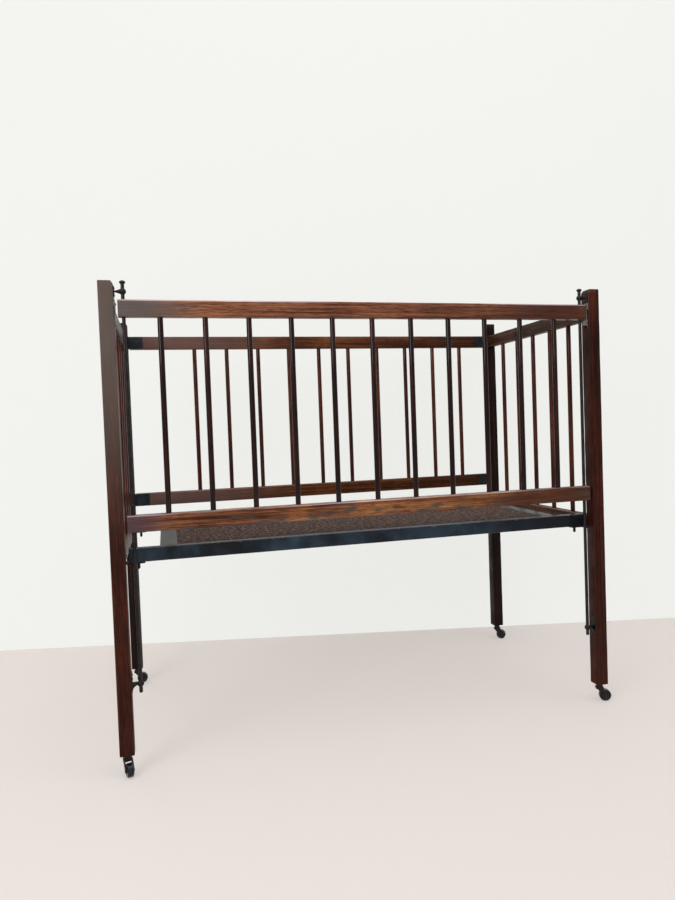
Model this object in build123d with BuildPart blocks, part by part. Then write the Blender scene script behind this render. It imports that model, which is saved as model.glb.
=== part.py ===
from build123d import *
from math import cos, radians, sin, sqrt
import os

# Drop-side cot in dark wood: four posts on castors, slatted ends hinged to a slatted
# back, a front side that slides down two iron rods, and a caned base that lifts out.
# Millimetres, +Z up, drop side towards -Y, origin on the floor under the middle.

# Cot as a whole
outer_length = 1233.2
outer_width = 599.4
post_top_height = 1085.0

# Posts
post_size = 31.75
post_edge_radius = 1.5
post_top_chamfer = 4.0

# Rails
rail_height = 38.0
rail_thickness = 22.0
rail_edge_radius = 3.0
top_rail_drop = 59.0
side_bottom_rail_level = 556.0
end_bottom_rail_level = 476.0
drop_side_gap = 7.85
back_rail_gap = 3.85
tenon_length = 12.0
tenon_height = 26.0
tenon_thickness = 10.0
fit_gap = 0.05

# Spindles
spindle_diameter = 12.7
spindle_seat_depth = 12.0
side_spindle_count = 11
side_spindle_inset = 88.0
end_spindle_count = 5
end_spindle_inset = 83.95

# Slide rods, their knobs and their eyes
rod_diameter = 8.0
rod_offset = 19.35
rod_foot_length = 14.0
rod_foot_bevel = 1.0
rod_running_gap = 0.4
rod_neck_length = 10.0
knob_diameter = 13.5
knob_brim_base = 3.5
knob_brim_top = 5.0
knob_height = 8.5
eye_ball_diameter = 14.8
lift_room = 12.0
side_drop = 330.0
eye_plate_thickness = 2.0
eye_plate_radius = 3.0
upper_plate_width = 16.0
upper_plate_height = 24.0
upper_plate_below_eye = 7.0
upper_arm_root_radius = 3.4
upper_arm_waist_radius = 2.0
upper_arm_waist_reach = 4.0
upper_arm_tip_radius = 5.5
upper_arm_tip_reach = 15.0
lower_plate_width = 19.0
lower_plate_height = 43.0
lower_plate_below_eye = 10.0
lower_arm_thickness = 6.0
lower_arm_top_drop = 2.0
lower_arm_foot_rise = 1.0
lower_arm_waist_reach = 5.8
lower_arm_tip_rise = 3.0

# Spring catches that hold the side up
catch_width = 10.0
catch_pivot_rise = 10.0
catch_pivot_offset = 1.85
catch_pin_diameter = 2.5
catch_pin_length = 16.0
catch_eye_diameter = 5.0
catch_arm_thickness = 2.6
catch_nose_depth = 9.5
catch_nose_height = 13.3
catch_nose_radius = 5.0
catch_nose_drop = 1.7
catch_side_gap = 0.4
catch_ear_thickness = 1.5
catch_ear_gap = 0.8
catch_ear_diameter = 5.8
catch_plate_thickness = 1.2
catch_plate_width = 18.0
catch_plate_height = 18.0
catch_plate_margin = 2.0
pocket_depth = 6.0
pocket_width = 12.0
pocket_clearance = 7.0
pocket_head_room = 2.0
leaf_spring_thickness = 0.6
leaf_spring_width = 8.0
leaf_spring_length = 25.0
leaf_spring_gap = 0.3

# Butt hinges between the back and the ends
hinge_height = 36.0
hinge_leaf_width = 38.0
hinge_rail_leaf_thickness = 2.2
hinge_post_leaf_thickness = 1.8
hinge_post_leaf_width = 21.0
knuckle_radius = 2.4
knuckle_place = 0.35
knuckle_overhang = 2.2
knuckle_gap = 0.3
hinge_pin_diameter = 2.4

# Screw holes in the ironwork
screw_hole_diameter = 3.2
hinge_screw_spacing = 20.0
upper_eye_screw_spacing = 15.0
lower_eye_screw_drops = (6.0, 15.0)
catch_screw_rise = 4.5
strap_screw_spacing = 15.0
strap_screw_height = 16.8

# Lift-out base
base_rail_height = 31.0
base_rail_width = 25.0
base_underside = 465.0
base_end_gap = 4.85
base_side_gap = 5.95
base_edge_radius = 2.0
cross_member_width = 40.0
cross_member_thickness = 20.0
cross_member_inset = 68.0
cross_tenon_length = 12.0
cross_tenon_thickness = 10.0
cane_thickness = 3.0

# Iron straps on the ends that carry the base, and the pins that locate it
strap_thickness = 3.0
strap_leg_height = 28.0
strap_corner_radius = 6.0
front_shelf_reach = 44.85
back_shelf_reach = 32.85
front_pin_inset = 25.0
back_pin_inset = 14.0
base_pin_diameter = 7.0
base_pin_seat = 16.0
base_pin_drop = 17.0
base_pin_play = 0.5
base_pin_bevel = 2.0

# Castors
castor_height = 47.0
castor_trail = 13.5
wheel_diameter = 30.0
wheel_width = 14.0
wheel_edge_bevel = 2.0
axle_diameter = 4.0
axle_head_height = 1.0
axle_head_diameter = 6.0
fork_thickness = 2.2
fork_gap = 0.5
fork_eye_diameter = 11.0
cheek_inset = 2.0
cheek_overlap = 1.0
crown_diameter = 20.0
crown_plate = 4.0
crown_taper = 10.0
crown_corner_radius = 4.0
crown_step = 1.0
crown_clearance = 2.5
castor_running_gap = 0.2
stem_diameter = 8.0
stem_length = 32.0
stem_bevel = 1.0
socket_diameter = 12.0
socket_depth = 38.0
socket_flange_diameter = 22.0
socket_flange_thickness = 2.5
socket_flange_bevel = 1.0
castor_headings = {
    "front_left": -74.0,
    "front_right": -20.0,
    "back_left": 0.0,
    "back_right": -40.0,
}

# Planes and lines that follow from the sizes above
sides = {"left": -1, "right": 1}
rows = {"front": -1, "back": 1}
post_x = (outer_length - post_size) / 2
post_y = (outer_width - post_size) / 2
inner_x = post_x - post_size / 2
inner_y = post_y - post_size / 2
end_rail_face = post_x - rail_thickness / 2
rail_rise = rail_height / 2
top_rail_level = post_top_height - top_rail_drop
drop_rail_half = inner_x - drop_side_gap
back_rail_half = inner_x - back_rail_gap
drop_line = outer_width / 2 - rail_thickness / 2
back_rail_face = post_y - rail_thickness / 2
side_levels = (side_bottom_rail_level, top_rail_level)
end_levels = (end_bottom_rail_level, top_rail_level)
rod_x = inner_x - rod_offset
side_spindle_pitch = 2 * (drop_rail_half - side_spindle_inset) / (side_spindle_count - 1)
end_spindle_pitch = 2 * (inner_y - end_spindle_inset) / (end_spindle_count - 1)
eye_radius = eye_ball_diameter / 2
eye_bore_radius = rod_diameter / 2 + rod_running_gap
eye_height = 2 * sqrt(eye_radius**2 - eye_bore_radius**2)
upper_eye_base = top_rail_level + rail_rise + lift_room
lower_eye_base = side_bottom_rail_level - rail_rise - side_drop - eye_height
upper_plate_base = upper_eye_base - upper_plate_below_eye
lower_plate_base = lower_eye_base - lower_plate_below_eye
rod_foot = lower_eye_base - rod_foot_length
knob_base = upper_eye_base + eye_height + rod_neck_length
base_rail_outer = inner_y - base_side_gap
base_rail_line = base_rail_outer - base_rail_width / 2
base_rail_inner = base_rail_outer - base_rail_width
base_top = base_underside + base_rail_height
base_half = inner_x - base_end_gap
cross_outer = base_half - cross_member_inset
cross_inner = cross_outer - cross_member_width
shelf_reaches = {"front": front_shelf_reach, "back": back_shelf_reach}
pin_insets = {"front": front_pin_inset, "back": back_pin_inset}
shaft_gap = 0.1

os.makedirs("parts", exist_ok=True)


def write_part(piece, name):
    """Label one finished piece and write its file."""
    piece.label = name
    export_step(piece, f"parts/{name}.step")


def spindle_grid(along_x):
    """Places of the spindles in a side rail, or in an end rail."""
    if along_x:
        return GridLocations(side_spindle_pitch, 0, side_spindle_count, 1)
    return GridLocations(0, end_spindle_pitch, 1, end_spindle_count)


def hinge_screw_seats(side, level):
    """Planes on the metal, two screws in the rail leaf and two in the post leaf."""
    leaf_front = back_rail_face - hinge_rail_leaf_thickness
    leaf_middle = back_rail_half - hinge_leaf_width / 2
    post_leaf_face = inner_x - hinge_post_leaf_thickness
    rail_seats = []
    post_seats = []
    for step in (-0.5, 0.5):
        rail_place = (side * (leaf_middle + step * hinge_screw_spacing), leaf_front, level)
        rail_seats.append(Plane(origin=rail_place, z_dir=(0, -1, 0)))
        post_place = (side * post_leaf_face, post_y, level + step * hinge_screw_spacing)
        post_seats.append(Plane(origin=post_place, z_dir=(-side, 0, 0)))
    return rail_seats, post_seats


def eye_screw_seats(side, eye_name):
    """Screws over and under the upper rod eye's arm, or two over the lower one's."""
    if eye_name == "upper":
        middle = upper_plate_base + upper_plate_height / 2
        levels = [middle + step * upper_eye_screw_spacing for step in (-0.5, 0.5)]
    else:
        plate_top = lower_plate_base + lower_plate_height
        levels = [plate_top - drop for drop in lower_eye_screw_drops]
    face = side * (inner_x - eye_plate_thickness)
    return [Plane(origin=(face, -drop_line, level), z_dir=(-side, 0, 0)) for level in levels]


def catch_screw_seat(side):
    """The screw above the ears of a catch bracket."""
    level = catch_pivot_level + catch_ear_diameter / 2 + catch_screw_rise
    place = (side * (inner_x - catch_plate_thickness), -drop_line, level)
    return Plane(origin=place, z_dir=(-side, 0, 0))


def strap_screw_seats(side, row):
    """Two screws through a strap's leg into the end rail."""
    seats = []
    for step in (-0.5, 0.5):
        across = row * base_rail_line + step * strap_screw_spacing
        level = base_underside - strap_thickness + strap_screw_height
        place = (side * (end_rail_face - strap_thickness), across, level)
        seats.append(Plane(origin=place, z_dir=(-side, 0, 0)))
    return seats


def drill_screws(seats):
    """Drill a screw hole through the piece being made at every seat."""
    with Locations(*seats):
        Hole(screw_hole_diameter / 2, 2 * strap_thickness)


# Levels of the catch, worked out from the rail that it holds
catch_pivot_level = top_rail_level + catch_pivot_rise
catch_nose_top = top_rail_level - rail_rise - catch_nose_drop
catch_nose_base = catch_nose_top - catch_nose_height
catch_nose_front = drop_side_gap - catch_side_gap
pocket_base = catch_nose_base - pocket_clearance
pocket_top = catch_pivot_level + catch_eye_diameter / 2 + pocket_head_room

# Posts
for row_name, row in rows.items():
    for side_name, side in sides.items():
        with BuildPart() as post:
            with BuildSketch(Plane.XY.offset(castor_height)):
                with Locations((side * post_x, row * post_y)):
                    Rectangle(post_size, post_size)
            extrude(amount=post_top_height - castor_height)
            chamfer(post.faces().sort_by(Axis.Z)[-1].edges(), post_top_chamfer)
            fillet(post.edges().filter_by(Axis.Z), post_edge_radius)
            with BuildSketch(Plane.XY.offset(castor_height)):
                with Locations((side * post_x, row * post_y)):
                    Circle(socket_diameter / 2 + fit_gap)
            extrude(amount=socket_depth + fit_gap, mode=Mode.SUBTRACT)
            for level in end_levels:
                mouth = Plane(
                    origin=(side * post_x, row * inner_y, level),
                    x_dir=(1, 0, 0),
                    z_dir=(0, row, 0),
                )
                with BuildSketch(mouth):
                    Rectangle(tenon_thickness + 2 * fit_gap, tenon_height + 2 * fit_gap)
                extrude(amount=tenon_length + fit_gap, mode=Mode.SUBTRACT)
            if row_name == "front":
                face = Plane(
                    origin=(side * inner_x, -drop_line, (pocket_base + pocket_top) / 2),
                    x_dir=(0, 1, 0),
                    z_dir=(side, 0, 0),
                )
                with BuildSketch(face):
                    Rectangle(pocket_width, pocket_top - pocket_base)
                extrude(amount=pocket_depth, mode=Mode.SUBTRACT)
        write_part(post.part, f"{row_name}_{side_name}_post")

# Rails and spindles of the two ends
for side_name, side in sides.items():
    for level_name, level in (("bottom", end_bottom_rail_level), ("top", top_rail_level)):
        middle = Plane(origin=(side * post_x, 0, level), x_dir=(1, 0, 0), z_dir=(0, 1, 0))
        with BuildPart() as end_rail:
            with BuildSketch(middle):
                RectangleRounded(rail_thickness, rail_height, rail_edge_radius)
            extrude(amount=inner_y, both=True)
            with BuildSketch(middle):
                Rectangle(tenon_thickness, tenon_height)
            extrude(amount=inner_y + tenon_length, both=True)
            inward = 1 if level_name == "bottom" else -1
            with BuildSketch(Plane((side * post_x, 0, level + inward * rail_rise))):
                with spindle_grid(False):
                    Circle(spindle_diameter / 2 + fit_gap)
            extrude(amount=-inward * spindle_seat_depth, mode=Mode.SUBTRACT)
        write_part(end_rail.part, f"end_{level_name}_rail_{side_name}")

    spindle_foot = end_bottom_rail_level + rail_rise - spindle_seat_depth + fit_gap
    spindle_head = top_rail_level - rail_rise + spindle_seat_depth - fit_gap
    with BuildPart() as end_spindles:
        with BuildSketch(Plane((side * post_x, 0, spindle_foot))):
            with spindle_grid(False):
                Circle(spindle_diameter / 2)
        extrude(amount=spindle_head - spindle_foot)
    write_part(end_spindles.part, f"end_spindles_{side_name}")

# Rails and spindles of the drop side and of the back
spindle_foot = side_bottom_rail_level + rail_rise - spindle_seat_depth + fit_gap
spindle_head = top_rail_level - rail_rise + spindle_seat_depth - fit_gap
side_lines = {"front": -drop_line, "back": post_y}
side_halves = {"front": drop_rail_half, "back": back_rail_half}
for row_name, line in side_lines.items():
    for level_name, level in (("bottom", side_bottom_rail_level), ("top", top_rail_level)):
        middle = Plane(origin=(0, line, level), x_dir=(0, 1, 0), z_dir=(1, 0, 0))
        with BuildPart() as side_rail:
            with BuildSketch(middle):
                RectangleRounded(rail_thickness, rail_height, rail_edge_radius)
            extrude(amount=side_halves[row_name], both=True)
            inward = 1 if level_name == "bottom" else -1
            with BuildSketch(Plane((0, line, level + inward * rail_rise))):
                with spindle_grid(True):
                    Circle(spindle_diameter / 2 + fit_gap)
            extrude(amount=-inward * spindle_seat_depth, mode=Mode.SUBTRACT)
            if row_name == "front":
                with Locations((rod_x, line, level), (-rod_x, line, level)):
                    Hole(rod_diameter / 2 + rod_running_gap)
        write_part(side_rail.part, f"{row_name}_{level_name}_rail")

    with BuildPart() as side_spindles:
        with BuildSketch(Plane((0, line, spindle_foot))):
            with spindle_grid(True):
                Circle(spindle_diameter / 2)
        extrude(amount=spindle_head - spindle_foot)
    write_part(side_spindles.part, f"{row_name}_spindles")

# Butt hinge, made round its own middle for the right end, knuckle on a vertical pin
knuckle_x = back_rail_half + (inner_x - back_rail_half) * knuckle_place
rail_leaf_front = back_rail_face - hinge_rail_leaf_thickness
knuckle_y = rail_leaf_front + knuckle_radius - knuckle_overhang
middle_knuckle = hinge_height / 3

with BuildPart() as rail_leaf:
    with BuildSketch():
        with Locations((back_rail_half, rail_leaf_front)):
            Rectangle(hinge_leaf_width, hinge_rail_leaf_thickness, align=(Align.MAX, Align.MIN))
        with Locations((knuckle_x, knuckle_y)):
            Circle(knuckle_radius)
    extrude(amount=hinge_height / 2, both=True)
    with BuildSketch():
        with Locations((knuckle_x, knuckle_y)):
            Circle(hinge_pin_diameter / 2 + fit_gap)
    extrude(amount=hinge_height / 2, both=True, mode=Mode.SUBTRACT)
    with BuildSketch():
        with Locations((knuckle_x, knuckle_y)):
            Rectangle(2 * (knuckle_radius + knuckle_gap), 4 * knuckle_radius)
    extrude(amount=middle_knuckle / 2 + knuckle_gap, both=True, mode=Mode.SUBTRACT)
    drill_screws(hinge_screw_seats(1, 0)[0])

with BuildPart() as post_leaf:
    with BuildSketch():
        with Locations((inner_x, knuckle_y)):
            Rectangle(hinge_post_leaf_thickness, hinge_post_leaf_width, align=(Align.MAX, Align.MIN))
        with Locations((knuckle_x, knuckle_y)):
            Circle(knuckle_radius)
    extrude(amount=hinge_height / 2, both=True)
    with BuildSketch():
        with Locations((knuckle_x, knuckle_y)):
            Circle(hinge_pin_diameter / 2 + fit_gap)
    extrude(amount=hinge_height / 2, both=True, mode=Mode.SUBTRACT)
    for end in (-1, 1):
        with BuildSketch(Plane((0, 0, end * middle_knuckle / 2))):
            with Locations((knuckle_x, knuckle_y)):
                Rectangle(4 * knuckle_radius, 2 * (knuckle_radius + knuckle_gap))
        extrude(amount=end * hinge_height, mode=Mode.SUBTRACT)
    drill_screws(hinge_screw_seats(1, 0)[1])

with BuildPart() as hinge_pin:
    with BuildSketch(Plane.XY.offset(-hinge_height / 2)):
        with Locations((knuckle_x, knuckle_y)):
            Circle(hinge_pin_diameter / 2)
    extrude(amount=hinge_height)

for piece, name in (
    (rail_leaf.part, "hinge_rail_leaves"),
    (post_leaf.part, "hinge_post_leaves"),
    (hinge_pin.part, "hinge_pins"),
):
    with BuildPart() as hinge_group:
        with Locations(*[(0, 0, level) for level in side_levels]):
            add(piece)
        mirror(about=Plane.YZ)
    write_part(hinge_group.part, name)

# Rod eyes: a plate on the post, an arm out of it, and a ball bored for the rod
eye_plane = Plane(origin=(inner_x, -drop_line, 0), x_dir=(-1, 0, 0), z_dir=(0, 1, 0))
eye_plates = {
    "upper": (upper_eye_base, upper_plate_base, upper_plate_width, upper_plate_height),
    "lower": (lower_eye_base, lower_plate_base, lower_plate_width, lower_plate_height),
}
for eye_name, (eye_base, plate_base, plate_width, plate_height) in eye_plates.items():
    eye_level = eye_base + eye_height / 2
    with BuildPart() as rod_eye:
        plate_middle = Plane(
            origin=(inner_x, -drop_line, plate_base + plate_height / 2),
            x_dir=(0, 1, 0),
            z_dir=(-1, 0, 0),
        )
        with BuildSketch(plate_middle):
            RectangleRounded(plate_width, plate_height, eye_plate_radius)
        extrude(amount=eye_plate_thickness)
        if eye_name == "upper":
            with BuildSketch(eye_plane):
                with BuildLine():
                    Polyline(
                        (0, eye_level),
                        (0, eye_level + upper_arm_root_radius),
                        (eye_plate_thickness, eye_level + upper_arm_root_radius),
                        (upper_arm_waist_reach, eye_level + upper_arm_waist_radius),
                        (upper_arm_tip_reach, eye_level + upper_arm_tip_radius),
                        (upper_arm_tip_reach, eye_level),
                        close=True,
                    )
                make_face()
            revolve(axis=Axis((inner_x, -drop_line, eye_level), (-1, 0, 0)))
        else:
            arm_top = eye_base + eye_height - lower_arm_top_drop
            arm_foot = plate_base + lower_arm_foot_rise
            with BuildSketch(eye_plane):
                with BuildLine():
                    foot = Line((0, arm_top), (0, arm_foot))
                    root = Line(foot @ 1, (eye_plate_thickness, arm_foot))
                    under = ThreePointArc(
                        root @ 1,
                        (lower_arm_waist_reach, eye_base),
                        (rod_offset, eye_base + lower_arm_tip_rise),
                    )
                    nose = Line(under @ 1, (rod_offset, arm_top))
                    Line(nose @ 1, foot @ 0)
                make_face()
            extrude(amount=lower_arm_thickness / 2, both=True)
        ball_section = Plane((rod_x, -drop_line, eye_level), x_dir=(-1, 0, 0), z_dir=(0, 1, 0))
        with BuildSketch(ball_section):
            with BuildLine():
                ball = ThreePointArc(
                    (eye_bore_radius, -eye_height / 2),
                    (eye_radius, 0),
                    (eye_bore_radius, eye_height / 2),
                )
                Polyline(ball @ 1, (0, eye_height / 2), (0, -eye_height / 2), ball @ 0)
            make_face()
        revolve(axis=Axis((rod_x, -drop_line, 0), (0, 0, 1)))
        with BuildSketch(Plane((rod_x, -drop_line, eye_base))):
            Circle(eye_bore_radius)
        extrude(amount=eye_height, mode=Mode.SUBTRACT)
        drill_screws(eye_screw_seats(1, eye_name))
    with BuildPart() as rod_eyes:
        add(rod_eye.part)
        mirror(about=Plane.YZ)
    write_part(rod_eyes.part, f"{eye_name}_rod_eyes")

# Slide rods, each with a mushroom knob on its neck above the upper eye
for side_name, side in sides.items():
    rod_section = Plane(
        origin=(side * rod_x, -drop_line, knob_base),
        x_dir=(1, 0, 0),
        z_dir=(0, -1, 0),
    )
    with BuildPart() as rod:
        with BuildSketch(rod_section):
            with BuildLine():
                shank = Polyline(
                    (0, rod_foot - knob_base),
                    (rod_diameter / 2 - rod_foot_bevel, rod_foot - knob_base),
                    (rod_diameter / 2, rod_foot - knob_base + rod_foot_bevel),
                    (rod_diameter / 2, 0),
                    (knob_diameter / 2, knob_brim_base),
                    (knob_diameter / 2, knob_brim_top),
                )
                dome = TangentArc((0, knob_height), shank @ 1, tangent=(1, 0))
                Line(dome @ 0, shank @ 0)
            make_face()
        revolve(axis=Axis((side * rod_x, -drop_line, 0), (0, 0, 1)))
    write_part(rod.part, f"slide_rod_{side_name}")

# Spring catches: bracket, pin, lever and leaf spring, drawn for the right post
catch_plane = Plane(origin=(inner_x, -drop_line, 0), x_dir=(-1, 0, 0), z_dir=(0, 1, 0))
pivot = (catch_pivot_offset, catch_pivot_level)
ear_inner = catch_width / 2 + catch_ear_gap
plate_base = catch_pivot_level - catch_ear_diameter / 2 - catch_plate_margin

with BuildPart() as catch_lever:
    with BuildSketch(catch_plane):
        with Locations((catch_nose_front, catch_nose_top)):
            Rectangle(catch_nose_depth, catch_nose_height, align=(Align.MAX, Align.MAX))
        fillet(vertices().group_by(Axis.X)[-1], catch_nose_radius)
        with Locations((catch_pivot_offset, (catch_pivot_level + catch_nose_top) / 2)):
            Rectangle(catch_arm_thickness, catch_pivot_level - catch_nose_top)
        with Locations(pivot):
            Circle(catch_eye_diameter / 2)
            Circle(catch_pin_diameter / 2 + shaft_gap, mode=Mode.SUBTRACT)
    extrude(amount=catch_width / 2, both=True)

with BuildPart() as catch_pin:
    with BuildSketch(catch_plane):
        with Locations(pivot):
            Circle(catch_pin_diameter / 2)
    extrude(amount=catch_pin_length / 2, both=True)

with BuildPart() as catch_bracket:
    for ear_side in (-1, 1):
        with BuildSketch(catch_plane.offset(ear_side * ear_inner)):
            with Locations(pivot):
                Circle(catch_ear_diameter / 2)
                Rectangle(catch_pivot_offset, catch_ear_diameter, align=(Align.MAX, Align.CENTER))
            with Locations((0, catch_pivot_level)):
                Rectangle(
                    catch_ear_diameter,
                    2 * catch_ear_diameter,
                    align=(Align.MAX, Align.CENTER),
                    mode=Mode.SUBTRACT,
                )
        extrude(amount=ear_side * catch_ear_thickness)
    with BuildSketch(Plane((inner_x, -drop_line, plate_base), x_dir=(0, 1, 0), z_dir=(-1, 0, 0))):
        Rectangle(catch_plate_width, catch_plate_height, align=(Align.CENTER, Align.MAX))
        Rectangle(
            2 * ear_inner,
            pocket_top - plate_base,
            align=(Align.CENTER, Align.MAX),
            mode=Mode.SUBTRACT,
        )
    extrude(amount=catch_plate_thickness)
    with BuildSketch(catch_plane):
        with Locations(pivot):
            Circle(catch_pin_diameter / 2 + fit_gap)
    extrude(amount=catch_plate_width, both=True, mode=Mode.SUBTRACT)
    drill_screws([catch_screw_seat(1)])

spring_middle = catch_nose_top - catch_nose_height / 2
spring_back = fit_gap - pocket_depth
spring_crown = catch_nose_front - catch_nose_depth - leaf_spring_gap
with BuildPart() as catch_spring:
    with BuildSketch(catch_plane):
        with BuildLine():
            back = ThreePointArc(
                (spring_back, spring_middle - leaf_spring_length / 2),
                (spring_crown - leaf_spring_thickness, spring_middle),
                (spring_back, spring_middle + leaf_spring_length / 2),
            )
            tip = Line(back @ 1, back @ 1 + (leaf_spring_thickness, 0))
            crown = ThreePointArc(
                tip @ 1,
                (spring_crown, spring_middle),
                back @ 0 + (leaf_spring_thickness, 0),
            )
            Line(crown @ 1, back @ 0)
        make_face()
    extrude(amount=leaf_spring_width / 2, both=True)

write_part(catch_lever.part, "catch_lever_right")
with BuildPart() as catch_lever_left:
    mirror(catch_lever.part, about=Plane.YZ)
write_part(catch_lever_left.part, "catch_lever_left")

for piece, name in (
    (catch_bracket.part, "catch_brackets"),
    (catch_pin.part, "catch_pins"),
    (catch_spring.part, "catch_springs"),
):
    with BuildPart() as catch_pair:
        add(piece)
        mirror(about=Plane.YZ)
    write_part(catch_pair.part, name)

# Lift-out base: two side rails, two flat cross members, cane between, four pins
for row_name, row in rows.items():
    base_middle = Plane(
        origin=(0, row * base_rail_line, base_underside + base_rail_height / 2),
        x_dir=(0, 1, 0),
        z_dir=(1, 0, 0),
    )
    with BuildPart() as base_rail:
        with BuildSketch(base_middle):
            RectangleRounded(base_rail_width, base_rail_height, base_edge_radius)
        extrude(amount=base_half, both=True)
        mortise = Plane(
            origin=(0, row * base_rail_inner, base_top - cross_member_thickness / 2),
            x_dir=(1, 0, 0),
            z_dir=(0, row, 0),
        )
        with BuildSketch(mortise):
            with GridLocations(cross_outer + cross_inner, 0, 2, 1):
                Rectangle(
                    cross_member_width - cross_tenon_length + 2 * fit_gap,
                    cross_tenon_thickness + 2 * fit_gap,
                )
        extrude(amount=cross_tenon_length + fit_gap, mode=Mode.SUBTRACT)
        with BuildSketch(Plane((0, row * base_rail_line, base_underside))):
            with GridLocations(2 * (inner_x - pin_insets[row_name]), 0, 2, 1):
                Circle(base_pin_diameter / 2 + fit_gap)
        extrude(amount=base_pin_seat + fit_gap, mode=Mode.SUBTRACT)
    write_part(base_rail.part, f"base_{row_name}_rail")

for side_name, side in sides.items():
    cross_middle = Plane(
        origin=(side * (cross_outer + cross_inner) / 2, 0, base_top - cross_member_thickness / 2),
        x_dir=(1, 0, 0),
        z_dir=(0, 1, 0),
    )
    with BuildPart() as cross_member:
        with BuildSketch(cross_middle):
            RectangleRounded(cross_member_width, cross_member_thickness, base_edge_radius)
        extrude(amount=base_rail_inner, both=True)
        with BuildSketch(cross_middle):
            Rectangle(cross_member_width - cross_tenon_length, cross_tenon_thickness)
        extrude(amount=base_rail_inner + cross_tenon_length, both=True)
    write_part(cross_member.part, f"base_cross_member_{side_name}")

with BuildPart() as cane_panel:
    with BuildSketch(Plane.XY.offset(base_top - cane_thickness)):
        Rectangle(2 * cross_inner, 2 * base_rail_inner)
    extrude(amount=cane_thickness)
write_part(cane_panel.part, "cane_panel")

with BuildPart() as base_pins:
    for row_name, row in rows.items():
        with BuildSketch(Plane((0, row * base_rail_line, base_underside + base_pin_seat))):
            with GridLocations(2 * (inner_x - pin_insets[row_name]), 0, 2, 1):
                Circle(base_pin_diameter / 2)
        extrude(amount=-base_pin_seat - base_pin_drop)
    chamfer(base_pins.faces().group_by(Axis.Z)[0].edges(), base_pin_bevel)
write_part(base_pins.part, "base_pins")

# Straps: L-shaped irons on the bottom end rails, each with a hole for a base pin
for row_name, row in rows.items():
    strap_plane = Plane(
        origin=(end_rail_face, row * base_rail_line, base_underside),
        x_dir=(-1, 0, 0),
        z_dir=(0, 1, 0),
    )
    with BuildPart() as strap:
        with BuildSketch(strap_plane):
            Rectangle(
                shelf_reaches[row_name],
                strap_thickness,
                align=(Align.MIN, Align.MAX),
            )
            with Locations((0, -strap_thickness)):
                Rectangle(strap_thickness, strap_leg_height, align=(Align.MIN, Align.MIN))
        extrude(amount=base_rail_width / 2, both=True)
        tip = strap.faces().sort_by(Axis.X)[0]
        fillet(tip.edges().filter_by(Axis.Z), strap_corner_radius)
        crown = strap.faces().sort_by(Axis.Z)[-1]
        fillet(crown.edges().filter_by(Axis.X), strap_corner_radius)
        with Locations((inner_x - pin_insets[row_name], row * base_rail_line, base_underside)):
            Hole(base_pin_diameter / 2 + base_pin_play, strap_thickness)
        drill_screws(strap_screw_seats(1, row))
    with BuildPart() as straps:
        add(strap.part)
        mirror(about=Plane.YZ)
    write_part(straps.part, f"{row_name}_base_straps")

# Castor sockets, let into the feet of the posts
socket_section = Plane(origin=(0, 0, castor_height), x_dir=(1, 0, 0), z_dir=(0, -1, 0))
bore_radius = stem_diameter / 2 + castor_running_gap
with BuildPart() as socket:
    with BuildSketch(socket_section):
        with BuildLine():
            Polyline(
                (bore_radius, -socket_flange_thickness),
                (socket_flange_diameter / 2 - socket_flange_bevel, -socket_flange_thickness),
                (socket_flange_diameter / 2, 0),
                (socket_diameter / 2, 0),
                (socket_diameter / 2, socket_depth),
                (bore_radius, socket_depth),
                close=True,
            )
        make_face()
    revolve(axis=Axis.Z)
with BuildPart() as castor_sockets:
    with GridLocations(2 * post_x, 2 * post_y, 2, 2):
        add(socket.part)
write_part(castor_sockets.part, "castor_sockets")

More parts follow.
